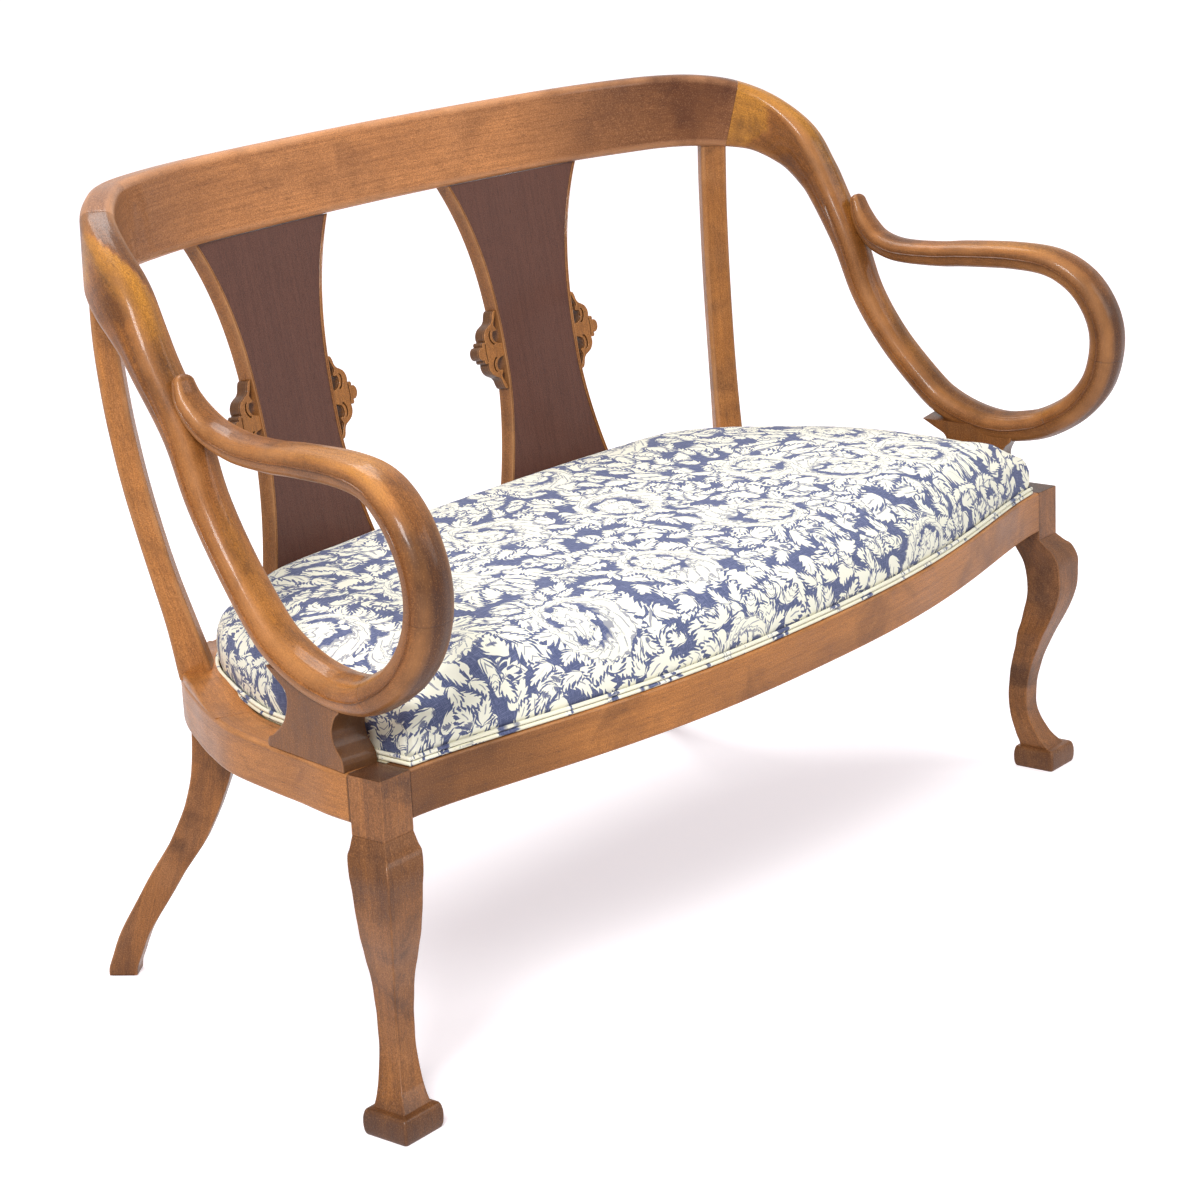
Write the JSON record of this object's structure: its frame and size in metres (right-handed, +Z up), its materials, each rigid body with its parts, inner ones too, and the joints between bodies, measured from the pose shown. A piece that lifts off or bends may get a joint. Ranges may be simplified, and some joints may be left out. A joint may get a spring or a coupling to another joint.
{
  "type": "cabriole settee",
  "caption": "Wooden settee with an open splat back, looped arms, square cabriole front legs, splayed rear legs and a loose upholstered seat.",
  "frame": {"origin": "on the floor, under the middle of the box round the whole settee", "axes": "+X to the viewer's right along the back, the front faces -Y, +Z up"},
  "size_m": [1.3054, 0.6491, 0.8779],
  "materials": {
    "wood": "satin varnish",
    "dark_wood": "satin varnish",
    "frame_wood": "unfinished",
    "dowel_wood": "unfinished",
    "upholstery": "woven",
    "webbing": "woven",
    "deck_cloth": "woven",
    "dust_cloth": "woven",
    "steel": "plain"
  },
  "bodies": {
    "root": {"crest_rail": "wood", "crest_corner_left": "wood", "crest_corner_right": "wood", "arm_sweep_left": "wood", "arm_sweep_right": "wood", "arm_bow_lower_left": "wood", "arm_bow_lower_right": "wood", "arm_bow_upper_left": "wood", "arm_bow_upper_right": "wood", "arm_tip_left": "wood", "arm_tip_right": "wood", "arm_saddle_left": "wood", "arm_saddle_right": "wood", "rear_post_left": "wood", "rear_post_right": "wood", "rear_leg_left": "wood", "rear_leg_right": "wood", "front_leg_left": "wood", "front_leg_right": "wood", "front_rail": "wood", "side_rail_left": "wood", "side_rail_right": "wood", "back_rail": "wood", "splat_left": "wood", "splat_right": "wood", "splat_panel_left": "dark_wood", "splat_panel_right": "dark_wood", "ornament_left_outer": "wood", "ornament_left_inner": "wood", "ornament_right_inner": "wood", "ornament_right_outer": "wood", "corner_block_front_left": "frame_wood", "corner_block_front_right": "frame_wood", "corner_block_rear_left": "frame_wood", "corner_block_rear_right": "frame_wood", "cross_rail_left": "frame_wood", "cross_rail_right": "frame_wood", "slip_bar_front": "frame_wood", "slip_bar_back": "frame_wood", "slip_bar_left": "frame_wood", "slip_bar_right": "frame_wood", "slip_bar_middle": "frame_wood", "webbing_long": "webbing", "webbing_cross": "webbing", "seat_deck": "deck_cloth", "seat_cushion": "upholstery", "dust_cover": "dust_cloth", "seat_screws": "steel", "frame_dowels": "dowel_wood", "upright_dowels": "dowel_wood"}
  },
  "joints": []
}
